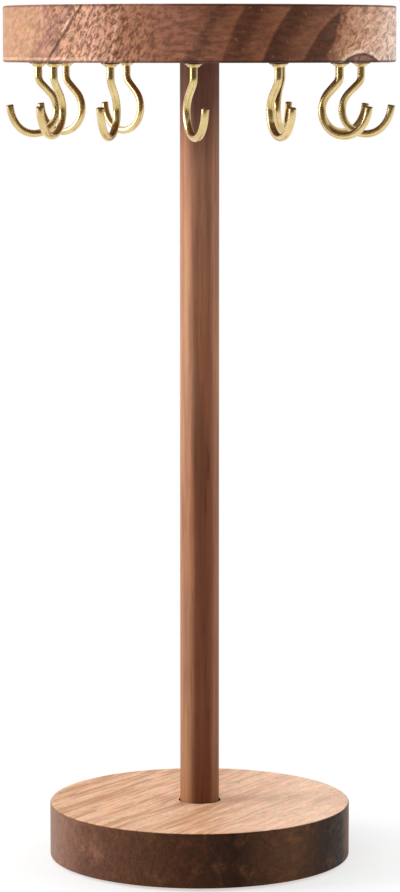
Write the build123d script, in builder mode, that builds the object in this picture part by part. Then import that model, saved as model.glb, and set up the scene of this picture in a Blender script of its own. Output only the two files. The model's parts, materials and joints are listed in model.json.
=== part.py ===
from build123d import *
import os
from math import cos, radians, sin

# A jewelry tree: a small round base, a slim pole and a wider round top disc, all in stained wood,
# with a ring of brass screw hooks under the top disc. The pole turns in the base on a screw that
# comes up from below, and each hook can be turned on its own thread.
# Millimetres, +Z up. The origin is on the pole's axis, on the surface that the foot pads rest on.
# The front of the tree faces -Y.

# Base disc and its foot pads
BASE_DIAMETER = 110.0
BASE_THICKNESS = 20.0
BASE_EDGE_RADIUS = 0.8
PAD_COUNT = 4
PAD_DIAMETER = 12.0
PAD_THICKNESS = 1.0
PAD_RIM_INSET = 4.0
PAD_EDGE_RADIUS = 0.25

# Pole and top disc
POLE_DIAMETER = 14.2
POLE_CLEAR_HEIGHT = 270.0
POLE_SINK = 2.5
POLE_END_CHAMFER = 0.3
TOP_DIAMETER = 141.0
TOP_THICKNESS = 20.0
TOP_EDGE_RADIUS = 0.8

# Pivot in the base: screw, bush and washers, and the threaded insert in the pole's foot
PIVOT_SCREW_DIAMETER = 5.0
PIVOT_SCREW_ENGAGEMENT = 10.0
PIVOT_SCREW_TIP_CHAMFER = 0.6
PIVOT_HEAD_DIAMETER = 9.5
PIVOT_HEAD_HEIGHT = 3.0
PIVOT_HEAD_DOME = 1.2
PIVOT_HEAD_SETBACK = 2.0
PIVOT_HEX_ACROSS_FLATS = 3.0
PIVOT_HEX_DEPTH = 1.8
HEAD_WASHER_DIAMETER = 12.0
HEAD_WASHER_THICKNESS = 1.0
BUSH_WALL = 1.4
BUSH_FLANGE_THICKNESS = 1.0
THRUST_WASHER_THICKNESS = 0.5
INSERT_DIAMETER = 8.0
INSERT_LENGTH = 12.0
INSERT_BARB_PITCH = 2.0
INSERT_BARB_DEPTH = 0.4

# Double-ended wood screw between the pole and the top disc
DOWEL_SCREW_DIAMETER = 6.0
DOWEL_SCREW_PITCH = 2.4
DOWEL_SCREW_POINT = 5.0
DOWEL_SCREW_IN_POLE = 22.0
DOWEL_SCREW_COVER = 4.5

# Screw hooks: a wire bent like a question mark below a wood thread
HOOK_RIM_INSET = 12.5
FIRST_HOOK_ANGLE = -92.0
HOOK_TURNS = [23, -4, 6, -12, -2, 17, 8, 22, 2, 26, 38, 15]
WIRE_DIAMETER = 2.7
WIRE_TIP_RADIUS = 0.5
SHANK_DROP = 5.0
NECK_RADIUS = 3.8
SLOPE_ANGLE = 45.0
SLOPE_LENGTH = 4.6
BOWL_RADIUS = 8.6
BOWL_TURN = 185.0
LIP_RADIUS = 11.5
LIP_TURN = 30.0
LIP_LENGTH = 2.0
HOOK_THREAD_LENGTH = 12.0
HOOK_THREAD_PITCH = 1.2
HOOK_THREAD_POINT = 2.6

# Flared collar that covers the mouth of each hook's hole
COLLAR_DIAMETER = 6.6
COLLAR_HEIGHT = 1.5
COLLAR_RIM_HEIGHT = 0.35
COLLAR_NECK_WALL = 0.4
COLLAR_FLARE_RADIUS = 3.0

# Clearances
RUNNING_CLEARANCE = 0.08
SEAT_CLEARANCE = 0.05
COLLAR_CLEARANCE = 0.02
END_PLAY = 0.05
SOCKET_CLEARANCE = 0.6
COUNTERBORE_CLEARANCE = 0.5
BLIND_END_CLEARANCE = 0.5

# Depth of a wood thread and width of each of its flanks, for each millimetre of pitch
THREAD_DEPTH_PER_PITCH = 0.3
THREAD_FLANK_PER_PITCH = 0.35

# Heights of the stack, from the surface up
base_bottom = PAD_THICKNESS
base_top = base_bottom + BASE_THICKNESS
pole_foot = base_top - POLE_SINK
pole_head = base_top + POLE_CLEAR_HEIGHT
flange_top = pole_foot - END_PLAY - THRUST_WASHER_THICKNESS
socket_floor = flange_top - BUSH_FLANGE_THICKNESS
pivot_head_bottom = base_bottom + PIVOT_HEAD_SETBACK
pivot_head_top = pivot_head_bottom + PIVOT_HEAD_HEIGHT
head_washer_bottom = pivot_head_top + END_PLAY
counterbore_roof = head_washer_bottom + HEAD_WASHER_THICKNESS

# Radii that several pieces share
pole_radius = POLE_DIAMETER / 2
pivot_radius = PIVOT_SCREW_DIAMETER / 2
bush_bore_radius = pivot_radius + RUNNING_CLEARANCE
bush_radius = bush_bore_radius + BUSH_WALL
head_washer_radius = HEAD_WASHER_DIAMETER / 2
insert_radius = INSERT_DIAMETER / 2
dowel_screw_radius = DOWEL_SCREW_DIAMETER / 2
dowel_screw_bore_radius = dowel_screw_radius + SEAT_CLEARANCE
dowel_screw_in_top = TOP_THICKNESS - DOWEL_SCREW_COVER
wire_radius = WIRE_DIAMETER / 2
hook_circle_radius = TOP_DIAMETER / 2 - HOOK_RIM_INSET
hook_count = len(HOOK_TURNS)
collar_radius = COLLAR_DIAMETER / 2
collar_bore_radius = wire_radius + COLLAR_CLEARANCE
collar_neck_radius = collar_bore_radius + COLLAR_NECK_WALL

# Heights on a collar, measured from the underside of the top disc
collar_top = -END_PLAY
collar_rim_bottom = collar_top - COLLAR_RIM_HEIGHT
collar_bottom = collar_top - COLLAR_HEIGHT


def keep(part, name):
    """Label a finished piece and write it to its own file."""
    part.label = name
    export_step(part, f"parts/{name}.step")


def thread_outline(crest_radius, pitch, length, point_length):
    """Half outline of a wood thread with a point, from the origin up its own Y axis."""
    core_radius = crest_radius - THREAD_DEPTH_PER_PITCH * pitch
    flank = THREAD_FLANK_PER_PITCH * pitch
    shoulder = length - point_length
    outline = [(0, 0), (core_radius, 0)]
    for ridge in range(int(shoulder / pitch)):
        crest = (ridge + 0.5) * pitch
        outline += [(core_radius, crest - flank), (crest_radius, crest), (core_radius, crest + flank)]
    outline += [(core_radius, shoulder), (0, length)]
    return outline


os.makedirs("parts", exist_ok=True)

# Base disc: a socket for the pole's foot on top, a counterbore for the screw's head below, and a
# bore for the bush between them.
with BuildPart() as base_disc:
    with BuildSketch(Plane.XY.offset(base_bottom)):
        Circle(BASE_DIAMETER / 2)
    extrude(amount=BASE_THICKNESS)
    fillet(base_disc.edges().filter_by(GeomType.CIRCLE), BASE_EDGE_RADIUS)
    with Locations(Plane.XY.offset(base_top)):
        Hole(pole_radius + SOCKET_CLEARANCE, base_top - socket_floor)
    with Locations(Plane.XY.offset(socket_floor)):
        Hole(bush_radius + SEAT_CLEARANCE)
    with BuildSketch(Plane.XY.offset(base_bottom)):
        Circle(head_washer_radius + COUNTERBORE_CLEARANCE)
    extrude(amount=counterbore_roof - base_bottom, mode=Mode.SUBTRACT)
keep(base_disc.part, "base_disc")

# Foot pads, stuck to the underside of the base.
pad_circle_radius = BASE_DIAMETER / 2 - PAD_RIM_INSET - PAD_DIAMETER / 2
pad_places = PolarLocations(pad_circle_radius, PAD_COUNT, start_angle=45)
for number, place in enumerate(pad_places.locations, start=1):
    with BuildPart() as foot_pad:
        with BuildSketch(Plane(place)):
            Circle(PAD_DIAMETER / 2)
        extrude(amount=PAD_THICKNESS)
        fillet(foot_pad.edges().filter_by(GeomType.CIRCLE).sort_by(Axis.Z)[0], PAD_EDGE_RADIUS)
    keep(foot_pad.part, f"foot_pad_{number}")

# Flanged bush in the base, in which the pivot screw turns.
with BuildPart() as pivot_bush:
    with BuildSketch(Plane.XY.offset(counterbore_roof)):
        Circle(bush_radius)
    extrude(amount=socket_floor - counterbore_roof)
    with BuildSketch(Plane.XY.offset(socket_floor)):
        Circle(pole_radius)
    extrude(amount=BUSH_FLANGE_THICKNESS)
    with Locations(Plane.XY.offset(flange_top)):
        Hole(bush_bore_radius)
keep(pivot_bush.part, "pivot_bush")

# Thrust washer, which lies on the bush's flange and carries the pole's foot.
with BuildPart() as thrust_washer:
    with BuildSketch(Plane.XY.offset(flange_top)):
        Circle(pole_radius)
        Circle(bush_bore_radius, mode=Mode.SUBTRACT)
    extrude(amount=THRUST_WASHER_THICKNESS)
keep(thrust_washer.part, "thrust_washer")

# Washer between the screw's head and the roof of the counterbore.
with BuildPart() as head_washer:
    with BuildSketch(Plane.XY.offset(head_washer_bottom)):
        Circle(head_washer_radius)
        Circle(bush_bore_radius, mode=Mode.SUBTRACT)
    extrude(amount=HEAD_WASHER_THICKNESS)
keep(head_washer.part, "head_washer")

# Pivot screw: a domed head with a hex socket, and a shank through the bush into the pole's foot.
with BuildPart() as pivot_screw:
    with BuildSketch(Plane.XY.offset(pivot_head_bottom)):
        Circle(PIVOT_HEAD_DIAMETER / 2)
    extrude(amount=PIVOT_HEAD_HEIGHT)
    fillet(pivot_screw.edges().filter_by(GeomType.CIRCLE).sort_by(Axis.Z)[0], PIVOT_HEAD_DOME)
    with BuildSketch(Plane.XY.offset(pivot_head_top)):
        Circle(pivot_radius)
    extrude(amount=pole_foot + PIVOT_SCREW_ENGAGEMENT - pivot_head_top)
    tip_rim = pivot_screw.edges().filter_by(GeomType.CIRCLE).sort_by(Axis.Z)[-1]
    chamfer(tip_rim, PIVOT_SCREW_TIP_CHAMFER)
    with BuildSketch(Plane.XY.offset(pivot_head_bottom)):
        RegularPolygon(PIVOT_HEX_ACROSS_FLATS / 2, 6, major_radius=False)
    extrude(amount=PIVOT_HEX_DEPTH, mode=Mode.SUBTRACT)
keep(pivot_screw.part, "pivot_screw")

# Insert in the pole's foot, which holds the pivot screw, with grooves that grip the wood.
with BuildPart() as pole_insert:
    with BuildSketch(Plane.XY.offset(pole_foot)):
        Circle(insert_radius)
        Circle(pivot_radius + SEAT_CLEARANCE, mode=Mode.SUBTRACT)
    extrude(amount=INSERT_LENGTH)
    with BuildSketch(Plane.XZ):
        for groove in range(1, int(INSERT_LENGTH / INSERT_BARB_PITCH)):
            with Locations((insert_radius, pole_foot + groove * INSERT_BARB_PITCH)):
                RegularPolygon(INSERT_BARB_DEPTH, 4)
    revolve(axis=Axis.Z, mode=Mode.SUBTRACT)
keep(pole_insert.part, "pole_insert")

# Pole: a dowel, bored for the insert at its foot and for the wood screw at its head.
with BuildPart() as pole:
    with BuildSketch(Plane.XY.offset(pole_foot)):
        Circle(pole_radius)
    extrude(amount=pole_head - pole_foot)
    chamfer(pole.edges().filter_by(GeomType.CIRCLE), POLE_END_CHAMFER)
    with BuildSketch(Plane.XY.offset(pole_foot)):
        Circle(insert_radius + SEAT_CLEARANCE)
    extrude(amount=INSERT_LENGTH + BLIND_END_CLEARANCE, mode=Mode.SUBTRACT)
    with Locations(Plane.XY.offset(pole_head)):
        Hole(dowel_screw_bore_radius, DOWEL_SCREW_IN_POLE + BLIND_END_CLEARANCE)
keep(pole.part, "pole")

# Double-ended wood screw: one thread runs up into the top disc and the other down into the pole.
thread_up = Plane((0, 0, pole_head), x_dir=(1, 0, 0), z_dir=(0, -1, 0))
thread_down = Plane((0, 0, pole_head), x_dir=(1, 0, 0), z_dir=(0, 1, 0))
with BuildPart() as dowel_screw:
    for thread_plane, length in ((thread_up, dowel_screw_in_top), (thread_down, DOWEL_SCREW_IN_POLE)):
        with BuildSketch(thread_plane):
            with BuildLine():
                Polyline(
                    thread_outline(dowel_screw_radius, DOWEL_SCREW_PITCH, length, DOWEL_SCREW_POINT),
                    close=True,
                )
            make_face()
        revolve(axis=Axis.Z)
keep(dowel_screw.part, "dowel_screw")

# Top disc: blind holes in its underside for the wood screw and for the ring of hooks.
hook_places = PolarLocations(hook_circle_radius, hook_count, start_angle=FIRST_HOOK_ANGLE)
with BuildPart() as top_disc:
    with BuildSketch(Plane.XY.offset(pole_head)):
        Circle(TOP_DIAMETER / 2)
    extrude(amount=TOP_THICKNESS)
    fillet(top_disc.edges().filter_by(GeomType.CIRCLE), TOP_EDGE_RADIUS)
    with BuildSketch(Plane.XY.offset(pole_head)):
        Circle(dowel_screw_bore_radius)
    extrude(amount=dowel_screw_in_top + BLIND_END_CLEARANCE, mode=Mode.SUBTRACT)
    with BuildSketch(Plane.XY.offset(pole_head)):
        with Locations(hook_places.locations):
            Circle(wire_radius + SEAT_CLEARANCE)
    extrude(amount=HOOK_THREAD_LENGTH + BLIND_END_CLEARANCE, mode=Mode.SUBTRACT)
keep(top_disc.part, "top_disc")

# Hooks and their collars. Each hook lies in an upright plane with its shank on the plane's Y axis
# and its open side towards the plane's X, which is turned a little from the radial direction.
for number, (place, turn) in enumerate(zip(hook_places.locations, HOOK_TURNS), start=1):
    heading = radians(FIRST_HOOK_ANGLE + 360 * (number - 1) / hook_count + turn)
    mouth = (place.position.X, place.position.Y, pole_head)
    hook_plane = Plane(
        mouth,
        x_dir=(cos(heading), sin(heading), 0),
        z_dir=(sin(heading), -cos(heading), 0),
    )
    shank_axis = Axis(mouth, (0, 0, 1))
    open_side = Axis(mouth, hook_plane.x_dir)

    with BuildPart() as hook:
        with BuildLine(hook_plane) as wire_path:
            shank = Line((0, 0), (0, -SHANK_DROP))
            neck = JernArc(shank @ 1, shank % 1, NECK_RADIUS, -SLOPE_ANGLE)
            slope = Line(neck @ 1, neck @ 1 + (neck % 1) * SLOPE_LENGTH)
            bowl = JernArc(slope @ 1, slope % 1, BOWL_RADIUS, BOWL_TURN)
            lip = JernArc(bowl @ 1, bowl % 1, LIP_RADIUS, LIP_TURN)
            Line(lip @ 1, lip @ 1 + (lip % 1) * LIP_LENGTH)
        with BuildSketch(Plane(mouth)):
            Circle(wire_radius)
        sweep(path=wire_path.line)
        tip_face = hook.faces().filter_by(GeomType.PLANE).sort_by(open_side)[-1]
        fillet(tip_face.edges(), WIRE_TIP_RADIUS)
        with BuildSketch(hook_plane):
            with BuildLine():
                Polyline(
                    thread_outline(wire_radius, HOOK_THREAD_PITCH, HOOK_THREAD_LENGTH, HOOK_THREAD_POINT),
                    close=True,
                )
            make_face()
        revolve(axis=shank_axis)
    keep(hook.part, f"hook_{number:02d}")

    with BuildPart() as hook_collar:
        with BuildSketch(hook_plane):
            with BuildLine():
                Polyline(
                    (collar_radius, collar_rim_bottom),
                    (collar_radius, collar_top),
                    (collar_bore_radius, collar_top),
                    (collar_bore_radius, collar_bottom),
                    (collar_neck_radius, collar_bottom),
                )
                RadiusArc(
                    (collar_neck_radius, collar_bottom),
                    (collar_radius, collar_rim_bottom),
                    COLLAR_FLARE_RADIUS,
                )
            make_face()
        revolve(axis=shank_axis)
    keep(hook_collar.part, f"hook_collar_{number:02d}")
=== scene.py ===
# %% [markdown]
# # A jewelry tree in stained wood and brass
#
# The real thing is a thick round board on a slim pole, over a smaller round base. A ring of brass
# screw hooks hangs under the board. This lesson dresses the measured model of it: the wood is turned
# again with soft edges, the hooks are bent from a round section, and each material is made of nodes.
#
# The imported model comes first, because every new piece has to sit exactly where its measured twin is.

# %% Load the measured model
import json
from math import cos, degrees, hypot, pi, radians, sin

import bmesh
import bpy
from mathutils import Matrix, Vector


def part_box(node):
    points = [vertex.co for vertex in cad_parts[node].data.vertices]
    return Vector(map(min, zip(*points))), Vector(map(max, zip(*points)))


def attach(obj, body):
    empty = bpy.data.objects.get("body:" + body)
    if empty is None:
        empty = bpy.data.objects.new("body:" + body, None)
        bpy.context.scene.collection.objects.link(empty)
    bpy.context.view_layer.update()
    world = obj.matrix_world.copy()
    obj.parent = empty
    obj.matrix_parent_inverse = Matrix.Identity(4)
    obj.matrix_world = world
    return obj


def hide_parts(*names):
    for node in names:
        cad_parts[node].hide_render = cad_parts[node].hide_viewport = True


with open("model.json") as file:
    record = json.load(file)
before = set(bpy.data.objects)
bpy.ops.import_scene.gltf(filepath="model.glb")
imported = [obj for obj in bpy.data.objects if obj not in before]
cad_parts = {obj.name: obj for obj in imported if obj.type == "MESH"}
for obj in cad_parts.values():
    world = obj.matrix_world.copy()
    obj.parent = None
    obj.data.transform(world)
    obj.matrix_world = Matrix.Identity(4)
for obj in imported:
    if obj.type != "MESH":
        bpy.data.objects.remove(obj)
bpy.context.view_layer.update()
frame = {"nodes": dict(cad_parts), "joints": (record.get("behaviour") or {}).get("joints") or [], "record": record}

nodes = frame["nodes"]

# %% [markdown]
# Blender works in metres here, but a maker thinks in millimetres. The shapes below are built in
# millimetres and shrunk once, when a piece is finished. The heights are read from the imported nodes,
# so they can't drift away from them.

# %% Heights and radii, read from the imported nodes
MM = 0.001


def extent(node):
    """Radius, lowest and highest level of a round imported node, in millimetres."""
    low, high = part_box(node)
    return (high.x - low.x) / 2 / MM, low.z / MM, high.z / MM


base_radius, base_bottom, base_top = extent("base_disc")
top_radius, top_bottom, top_top = extent("top_disc")
pole_radius, pole_foot, pole_head = extent("pole")
print(f"radii: base {base_radius:.1f}, top {top_radius:.1f}, pole {pole_radius:.1f} mm")
print(f"height {top_top:.0f} mm")

# %% [markdown]
# A bmesh is Blender's sketch of a mesh, which the operators of bmesh.ops can push about. When a piece
# is done, one helper welds its doubled points, turns its faces outwards, writes it to an object, and
# shades it smooth except over edges sharper than 40 degrees.

# %% Finish a piece
WELD = 0.002
SHARP_ANGLE = 40


def finish_piece(bm, node, body):
    """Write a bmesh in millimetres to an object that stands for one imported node."""
    bmesh.ops.remove_doubles(bm, verts=bm.verts, dist=WELD)
    bmesh.ops.recalc_face_normals(bm, faces=bm.faces)
    bmesh.ops.scale(bm, vec=(MM, MM, MM), verts=bm.verts)
    open_edges = sum(not edge.is_manifold for edge in bm.edges)
    mesh = bpy.data.meshes.new(node)
    bm.to_mesh(mesh)
    bm.free()
    mesh.shade_smooth()
    mesh.set_sharp_from_angle(angle=radians(SHARP_ANGLE))
    piece = bpy.data.objects.new("dressed_" + node, mesh)
    bpy.context.collection.objects.link(piece)
    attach(piece, body)
    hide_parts(node)
    print(f"{piece.name}: {len(mesh.polygons)} faces, {open_edges} open edges")
    return piece


# %% [markdown]
# Both boards and the pole are turned on a lathe. Spin does the same to a half outline, and full turns
# need use_merge, or the last row would lie unwelded on the first. Points on the axis close to a pole
# when the doubles are welded.

# %% Turn an outline about an upright axis
def turn(bm, outline, steps, centre=(0, 0, 0)):
    """Spin a chain of (radius, height) points about the axis through centre."""
    centre = Vector(centre)
    points = [bm.verts.new(centre + Vector((radius, 0, height))) for radius, height in outline]
    chain = [bm.edges.new(pair) for pair in zip(points, points[1:])]
    bmesh.ops.spin(
        bm, geom=points + chain, cent=centre, axis=(0, 0, 1), angle=2 * pi, steps=steps, use_merge=True
    )
    bmesh.ops.remove_doubles(bm, verts=bm.verts, dist=WELD)


def rings_at(bm, radius, height, slack=0.01):
    """The edges of the circle that a turned outline has at one radius and height."""
    def on_ring(vert):
        return abs(vert.co.z - height) < slack and abs(hypot(vert.co.x, vert.co.y) - radius) < slack

    return [edge for edge in bm.edges if on_ring(edge.verts[0]) and on_ring(edge.verts[1])]


# %% [markdown]
# Sandpaper takes the corner off a turned board. The bevel operator rounds it: segments sets how many
# strips the arc gets, and a profile of 0.5 makes it a true quarter circle. The outline has a spare
# point close to each corner, so the smooth shading of the arc stops there and the faces stay flat.

# %% Soften the arrises
ARRIS = 0.8


def soften(bm, corners):
    """Round the edges of a turned board at its (radius, height) corners."""
    edges = [edge for radius, height in corners for edge in rings_at(bm, radius, height)]
    bmesh.ops.bevel(
        bm, geom=edges, offset=ARRIS, offset_type="OFFSET", affect="EDGES", segments=5, profile=0.5,
        material=-1,
    )


# %% [markdown]
# The base is one closed ring: a wide socket on top for the pole's foot, a narrow bore for the bush,
# and a counterbore from below for the screw's head. All of it is one outline that runs round the
# section and ends where it began.

# %% Base disc
SOCKET_GAP = 0.6
BUSH_FLANGE = 1.0
BUSH_BORE_RADIUS = 4.03
COUNTERBORE_RADIUS = 6.5
SPARE = 1.6

socket_radius = pole_radius + SOCKET_GAP
socket_floor = extent("thrust_washer")[1] - BUSH_FLANGE
counterbore_roof = extent("head_washer")[2]
bm = bmesh.new()
turn(bm, [
    (COUNTERBORE_RADIUS, base_bottom),
    (base_radius - SPARE, base_bottom),
    (base_radius, base_bottom),
    (base_radius, base_bottom + SPARE),
    (base_radius, base_top - SPARE),
    (base_radius, base_top),
    (base_radius - SPARE, base_top),
    (socket_radius, base_top),
    (socket_radius, socket_floor),
    (BUSH_BORE_RADIUS, socket_floor),
    (BUSH_BORE_RADIUS, counterbore_roof),
    (COUNTERBORE_RADIUS, counterbore_roof),
    (COUNTERBORE_RADIUS, base_bottom),
], 160)
soften(bm, [(base_radius, base_bottom), (base_radius, base_top)])
base_disc = finish_piece(bm, "base_disc", "base")

# %% [markdown]
# The pole is a plain dowel with a bore in each end: one for the threaded insert at the foot, one for
# the double-ended screw at the head. Its ends have a small chamfer, drawn straight into the outline.

# %% Pole
INSERT_BORE_RADIUS = 4.05
INSERT_BORE_DEPTH = 12.5
SCREW_BORE_RADIUS = 3.05
SCREW_BORE_DEPTH = 22.5
CHAMFER = 0.3

bm = bmesh.new()
turn(bm, [
    (0, pole_foot + INSERT_BORE_DEPTH),
    (INSERT_BORE_RADIUS, pole_foot + INSERT_BORE_DEPTH),
    (INSERT_BORE_RADIUS, pole_foot),
    (pole_radius - CHAMFER, pole_foot),
    (pole_radius, pole_foot + CHAMFER),
    (pole_radius, pole_head - CHAMFER),
    (pole_radius - CHAMFER, pole_head),
    (SCREW_BORE_RADIUS, pole_head),
    (SCREW_BORE_RADIUS, pole_head - SCREW_BORE_DEPTH),
    (0, pole_head - SCREW_BORE_DEPTH),
], 72)
pole = finish_piece(bm, "pole", "column")

# %% [markdown]
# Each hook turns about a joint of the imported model, and its seat, the lowest point of its bowl, is a
# mount there. The line from one to the other says which way the hook opens.

# %% Places and headings of the hooks
joints = {joint["name"]: joint for joint in frame["joints"]}
mounts = {mount["name"]: mount for mount in frame["record"]["mounts"]}
hooks = []
for number in range(1, 13):
    mouth = Vector(joints[f"hook_{number:02d}_turn"]["pos_m"]) / MM
    seat = Vector(mounts[f"hook_seat_{number:02d}"]["pos_m"]) / MM
    across = (seat - mouth).to_2d()
    hooks.append((number, mouth, Vector((1, 0)).angle_signed(across) * -1))
print("first hook opens towards", round(degrees(hooks[0][2])), "degrees")

# %% [markdown]
# The top board has thirteen blind holes in its underside, so a spin alone can't make it. The spin
# makes the top, the rim and a narrow band of the underside. Circles mark the holes, triangle_fill
# covers the flat between them, and extruding each circle upwards drills its hole.

# %% Top disc
HOOK_HOLE_RADIUS = 1.4
HOOK_HOLE_DEPTH = 12.5
SCREW_HOLE_DEPTH = 16.0

drilled = [(Vector((0, 0, top_bottom)), SCREW_BORE_RADIUS, SCREW_HOLE_DEPTH)]
drilled += [(mouth, HOOK_HOLE_RADIUS, HOOK_HOLE_DEPTH) for number, mouth, heading in hooks]
bm = bmesh.new()
turn(bm, [
    (0, top_top),
    (top_radius * 0.6, top_top),
    (top_radius - SPARE, top_top),
    (top_radius, top_top),
    (top_radius, top_top - SPARE),
    (top_radius, top_bottom + SPARE),
    (top_radius, top_bottom),
    (top_radius - SPARE, top_bottom),
], 192)
soften(bm, [(top_radius, top_top), (top_radius, top_bottom)])
flat = [edge for edge in bm.edges if edge.is_boundary]
holes = []
for centre, radius, depth in drilled:
    circle = bmesh.ops.create_circle(bm, segments=40, radius=radius, matrix=Matrix.Translation(centre))
    rim = list({edge for vert in circle["verts"] for edge in vert.link_edges})
    holes.append((rim, depth))
    flat += rim
bmesh.ops.triangle_fill(bm, use_beauty=True, edges=flat, normal=(0, 0, -1))
for rim, depth in holes:
    wall = bmesh.ops.extrude_edge_only(bm, edges=rim)["geom"]
    risen = [part for part in wall if isinstance(part, bmesh.types.BMVert)]
    bmesh.ops.translate(bm, verts=risen, vec=(0, 0, depth))
    bmesh.ops.contextual_create(bm, geom=[edge for edge in bm.edges if all(v in risen for v in edge.verts)])
top_disc = finish_piece(bm, "top_disc", "column")

# %% [markdown]
# A screw hook is a piece of wire. Two moves make all of it. Push extrudes the open rim of the wire
# and slides the new rim along, and bend spins the rim about a centre beside the wire, like a former
# on a bench. The last rim is capped, and its edge is rounded.

# %% Push and bend a wire
def edges_of(verts):
    """The edges that join points of this set."""
    verts = set(verts)
    return [edge for edge in {e for v in verts for e in v.link_edges} if set(edge.verts) <= verts]


def push(bm, rim, step):
    """Extrude an open rim by step."""
    grown = bmesh.ops.extrude_edge_only(bm, edges=rim)["geom"]
    verts = [part for part in grown if isinstance(part, bmesh.types.BMVert)]
    bmesh.ops.translate(bm, verts=verts, vec=step)
    return edges_of(verts)


def bend(bm, rim, centre, angle, steps):
    """Spin an open rim about a line through centre along the bench's Y axis."""
    swept = bmesh.ops.spin(
        bm, geom=rim, cent=(centre[0], 0, centre[1]), axis=(0, 1, 0), angle=radians(angle), steps=steps
    )
    return [part for part in swept["geom_last"] if isinstance(part, bmesh.types.BMEdge)]


# %% [markdown]
# The hook's sizes, in its own upright plane: x runs towards its open side and z runs up, from the
# mouth of its hole. The bowl's centre follows from the drop, the neck and the slope, so the wire stays
# smooth whatever the sizes are. The wood thread is turned first, and the wire grows from its foot.

# %% Sizes of a hook
WIRE_RADIUS = 1.35
SHANK_DROP = 5.0
NECK_RADIUS = 3.8
SLOPE = 4.6
BOWL_RADIUS = 8.6
LIP_RADIUS = 11.5
LIP_LENGTH = 2.0
THREAD_PITCH = 1.2
THREAD_DEPTH = 0.3 * THREAD_PITCH
THREAD_FLANK = 0.35 * THREAD_PITCH
THREAD_RUNOUT = 0.15
THREAD_LENGTH = 12.0
THREAD_POINT = 2.6

SLOPE_ANGLE = 45
BOWL_TURN = 185
LIP_TURN = 30

# The wire starts straight down, at minus 90 degrees. The neck turns it back, the bowl and lip turn it up.
bowl_end = -90 - SLOPE_ANGLE + BOWL_TURN
lip_end = bowl_end + LIP_TURN
diagonal = sin(radians(SLOPE_ANGLE))
bowl_centre = (
    -NECK_RADIUS + diagonal * (NECK_RADIUS - SLOPE + BOWL_RADIUS),
    -SHANK_DROP - diagonal * (NECK_RADIUS + SLOPE + BOWL_RADIUS),
)
lip_side = radians(bowl_end - 90)
lip_centre = (
    bowl_centre[0] + (BOWL_RADIUS - LIP_RADIUS) * cos(lip_side),
    bowl_centre[1] + (BOWL_RADIUS - LIP_RADIUS) * sin(lip_side),
)
lip_step = (cos(radians(lip_end)) * LIP_LENGTH, 0, sin(radians(lip_end)) * LIP_LENGTH)
print("bowl and lip centres", [round(value, 2) for value in bowl_centre + lip_centre])


def thread_outline():
    """Half outline of the wood thread, from its point down to the mouth of the hole."""
    core = WIRE_RADIUS - THREAD_DEPTH
    outline = [(0, THREAD_LENGTH), (core, THREAD_LENGTH - THREAD_POINT)]
    for ridge in reversed(range(int((THREAD_LENGTH - THREAD_POINT) / THREAD_PITCH))):
        crest = (ridge + 0.5) * THREAD_PITCH
        outline += [(core, crest + THREAD_FLANK), (WIRE_RADIUS, crest), (core, crest - THREAD_FLANK)]
    return outline + [(core, THREAD_RUNOUT), (WIRE_RADIUS, 0)]


# %% [markdown]
# Twelve hooks are bent on the same bench and then turned to their own headings, as screw hooks end
# up when they are driven by hand. Placing happens in the mesh, so that each object stays at the
# origin.

# %% Hooks
TIP_ROUND = 0.45

hook_pieces = []
for number, mouth, heading in hooks:
    bm = bmesh.new()
    turn(bm, thread_outline(), 24)
    rim = [edge for edge in bm.edges if edge.is_boundary]
    rim = push(bm, rim, (0, 0, -SHANK_DROP))
    rim = bend(bm, rim, (-NECK_RADIUS, -SHANK_DROP), SLOPE_ANGLE, 7)
    rim = push(bm, rim, (-diagonal * SLOPE, 0, -diagonal * SLOPE))
    rim = bend(bm, rim, bowl_centre, -BOWL_TURN, 38)
    rim = bend(bm, rim, lip_centre, -LIP_TURN, 7)
    rim = push(bm, rim, lip_step)
    cap = bmesh.ops.contextual_create(bm, geom=rim)["faces"]
    rounded = bmesh.ops.bevel(
        bm, geom=rim, offset=TIP_ROUND, offset_type="OFFSET", affect="EDGES", segments=4, profile=0.5,
        material=-1,
    )
    for face in cap + rounded["faces"]:
        if face.is_valid:
            face.material_index = 1
    placed = Matrix.Translation(mouth) @ Matrix.Rotation(heading, 4, "Z")
    bmesh.ops.transform(bm, matrix=placed, verts=bm.verts)
    name = f"hook_{number:02d}"
    hook_pieces.append(finish_piece(bm, name, name))

# %% [markdown]
# A flared collar hides the mouth of each hole. Its hollow flare is an arc, and spinning one point
# about a centre outside the collar draws it. The arc and the straight parts join into one section,
# which a second spin turns about the shank.

# %% Collars
COLLAR_RADIUS = 3.3
COLLAR_BORE = 1.37
COLLAR_NECK = 1.77
COLLAR_TOP = -0.05
COLLAR_RIM = -0.4
COLLAR_FOOT = -1.55
COLLAR_ARRIS = 0.12
FLARE_RADIUS = 3.0

rim_point = Vector((COLLAR_RADIUS, 0, COLLAR_RIM))
foot_point = Vector((COLLAR_NECK, 0, COLLAR_FOOT))
chord = foot_point - rim_point
outward = Vector((-chord.z, 0, chord.x)).normalized()
flare_centre = (rim_point + foot_point) / 2 + outward * (FLARE_RADIUS ** 2 - (chord.length / 2) ** 2) ** 0.5
flare_angle = (rim_point - flare_centre).angle(foot_point - flare_centre)
print("flare sweeps", round(degrees(flare_angle)), "degrees")

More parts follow.
